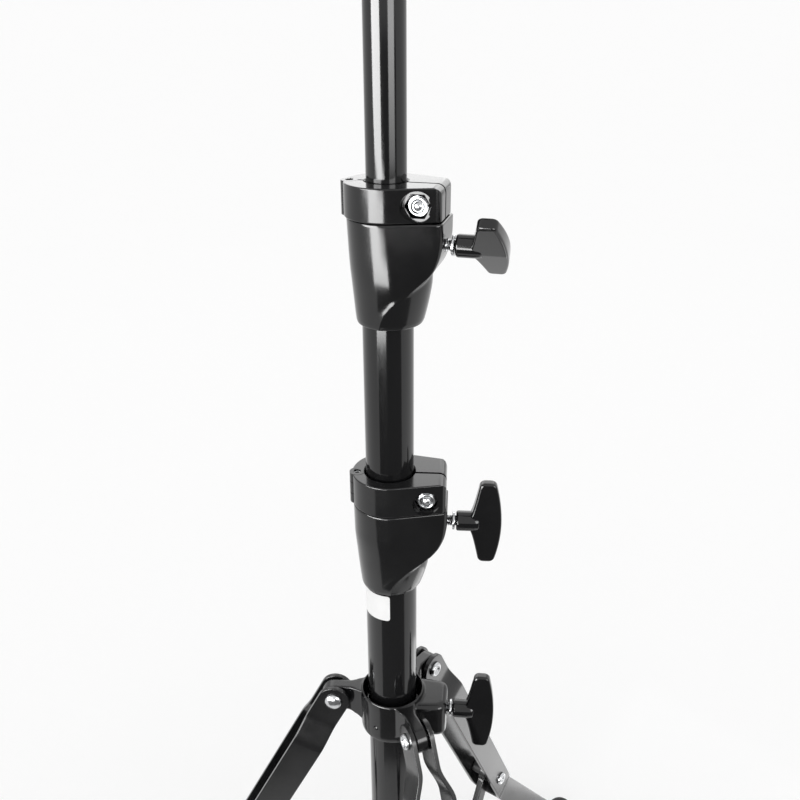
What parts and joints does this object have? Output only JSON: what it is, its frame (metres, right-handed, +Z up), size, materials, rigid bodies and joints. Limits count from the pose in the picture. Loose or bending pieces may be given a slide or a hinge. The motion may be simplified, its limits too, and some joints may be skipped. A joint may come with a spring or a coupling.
{
  "type": "tripod stand",
  "caption": "Folding tripod stand: telescoping round tubes, clamp-ring height locks, wing screws, braced double-strip legs with rubber feet, and a pole spigot on top.",
  "frame": {"origin": "middle of the footprint's box, on the floor; the tubes' common axis stands at x = 57.2 mm, y = 14.6 mm", "axes": "+Z up along the tubes; +X towards the side that the wing screws point to"},
  "size_m": [0.4724, 0.5118, 1.014],
  "materials": {
    "tube_black": "satin black coating on steel tube",
    "cast_black": "satin black enamel on die casting",
    "strip_black": "semi-gloss black coating on steel strip",
    "knob_plastic": "gloss black moulded plastic",
    "chrome": "bright plated steel",
    "nylon": "matt black nylon",
    "rubber": "matt black moulded rubber",
    "label_white": "satin white sticker, blank"
  },
  "bodies": {
    "base": {"lower_tube": "tube_black", "tube_end_plug": "nylon", "lower_receiver": "cast_black", "lower_bushing": "nylon", "brace_hub": "cast_black", "brace_hub_screw": "chrome"},
    "mid_mast": {"mid_tube": "tube_black", "upper_receiver": "cast_black", "upper_bushing": "nylon"},
    "top_mast": {"top_tube": "tube_black", "speaker_spigot": "nylon", "spigot_screw": "chrome"},
    "lower_ring": {"lower_lock_rear": "cast_black", "lower_lock_bolt": "chrome", "lower_lock_pin": "chrome"},
    "lower_ring_front": {"lower_lock_front": "cast_black", "lower_lock_nut": "chrome"},
    "upper_ring": {"upper_lock_rear": "cast_black", "upper_lock_bolt": "chrome", "upper_lock_pin": "chrome"},
    "upper_ring_front": {"upper_lock_front": "cast_black", "upper_lock_nut": "chrome"},
    "collar": {"leg_collar": "cast_black"},
    "lower_wing": {"lower_wing_stud": "chrome", "lower_wing_knob": "knob_plastic"},
    "upper_wing": {"upper_wing_stud": "chrome", "upper_wing_knob": "knob_plastic"},
    "collar_wing": {"collar_wing_stud": "chrome", "collar_wing_knob": "knob_plastic"},
    "leg_1": {"leg_1_strip_left": "strip_black", "leg_1_strip_right": "strip_black", "leg_1_pivot_rivet": "chrome", "leg_1_brace_rivet_left": "chrome", "leg_1_brace_rivet_right": "chrome", "leg_1_foot": "rubber", "leg_1_foot_rivet": "chrome"},
    "brace_1": {"brace_1": "strip_black", "brace_1_bush": "nylon", "brace_1_hub_rivet": "chrome"},
    "leg_2": {"leg_2_strip_left": "strip_black", "leg_2_strip_right": "strip_black", "leg_2_pivot_rivet": "chrome", "leg_2_brace_rivet_left": "chrome", "leg_2_brace_rivet_right": "chrome", "leg_2_foot": "rubber", "leg_2_foot_rivet": "chrome"},
    "brace_2": {"brace_2": "strip_black", "brace_2_bush": "nylon", "brace_2_hub_rivet": "chrome"},
    "leg_3": {"leg_3_strip_left": "strip_black", "leg_3_strip_right": "strip_black", "leg_3_pivot_rivet": "chrome", "leg_3_brace_rivet_left": "chrome", "leg_3_brace_rivet_right": "chrome", "leg_3_foot": "rubber", "leg_3_foot_rivet": "chrome"},
    "brace_3": {"brace_3": "strip_black", "brace_3_bush": "nylon", "brace_3_hub_rivet": "chrome"}
  },
  "joints": [
    {"name": "mid_tube_slide", "type": "slide", "parent": "base", "child": "mid_mast", "axis": [0, 0, 1], "range_m": [0, 0.24]},
    {"name": "top_tube_slide", "type": "slide", "parent": "mid_mast", "child": "top_mast", "axis": [0, 0, 1], "range_m": [0, 0.22]},
    {"name": "lower_ring_slide", "type": "slide", "parent": "mid_mast", "child": "lower_ring", "axis": [0, 0, 1], "range_m": [0, 0.08]},
    {"name": "upper_ring_slide", "type": "slide", "parent": "top_mast", "child": "upper_ring", "axis": [0, 0, 1], "range_m": [0, 0.22]},
    {"name": "lower_ring_hinge", "type": "hinge", "parent": "lower_ring", "child": "lower_ring_front", "pos_m": [0.03991, 0.01377, 0.534], "axis": [0, 0, -1], "range_deg": [0, 1.5]},
    {"name": "upper_ring_hinge", "type": "hinge", "parent": "upper_ring", "child": "upper_ring_front", "pos_m": [0.04008, 0.01708, 0.687], "axis": [0, 0, -1], "range_deg": [0, 1.5]},
    {"name": "collar_slide", "type": "slide", "parent": "base", "child": "collar", "axis": [0, 0, 1], "range_m": [0, 0.04108]},
    {"name": "leg_1_hinge", "type": "hinge", "parent": "collar", "child": "leg_1", "pos_m": [0.0779, 0.04304, 0.3854], "axis": [-0.809, 0.5878, 0], "range_deg": [0, 22.05]},
    {"name": "leg_2_hinge", "type": "hinge", "parent": "collar", "child": "leg_2", "pos_m": [0.0222, 0.01824, 0.3854], "axis": [-0.1045, -0.9945, 0], "range_deg": [0, 22.05]},
    {"name": "leg_3_hinge", "type": "hinge", "parent": "collar", "child": "leg_3", "pos_m": [0.07153, -0.01759, 0.3854], "axis": [0.9135, 0.4067, 0], "range_deg": [0, 22.05]},
    {"name": "brace_1_hinge", "type": "hinge", "parent": "base", "child": "brace_1", "pos_m": [0.07367, 0.03721, 0.033], "axis": [0.809, -0.5878, 0], "range_deg": [0, 20.45]},
    {"name": "brace_2_hinge", "type": "hinge", "parent": "base", "child": "brace_2", "pos_m": [0.02936, 0.01749, 0.033], "axis": [0.1045, 0.9945, 0], "range_deg": [0, 20.45]},
    {"name": "brace_3_hinge", "type": "hinge", "parent": "base", "child": "brace_3", "pos_m": [0.0686, -0.01102, 0.033], "axis": [-0.9135, -0.4067, 0], "range_deg": [0, 20.45]},
    {"name": "lower_wing_turn", "type": "hinge", "parent": "base", "child": "lower_wing", "pos_m": [0.08714, 0.01247, 0.5129], "axis": [0.9976, -0.0698, 0], "continuous": true},
    {"name": "upper_wing_turn", "type": "hinge", "parent": "mid_mast", "child": "upper_wing", "pos_m": [0.08619, 0.0068, 0.6668], "axis": [0.9659, -0.2588, 0], "continuous": true},
    {"name": "collar_wing_turn", "type": "hinge", "parent": "collar", "child": "collar_wing", "pos_m": [0.08704, 0.01142, 0.3805], "axis": [0.9945, -0.1045, 0], "continuous": true}
  ],
  "couplings": [
    {"joint": "leg_1_hinge", "follows": "collar_slide", "rad_per_m": 9.3469},
    {"joint": "leg_2_hinge", "follows": "collar_slide", "rad_per_m": 9.3469},
    {"joint": "leg_3_hinge", "follows": "collar_slide", "rad_per_m": 9.3469},
    {"joint": "brace_1_hinge", "follows": "collar_slide", "rad_per_m": 8.6684},
    {"joint": "brace_2_hinge", "follows": "collar_slide", "rad_per_m": 8.6684},
    {"joint": "brace_3_hinge", "follows": "collar_slide", "rad_per_m": 8.6684}
  ]
}
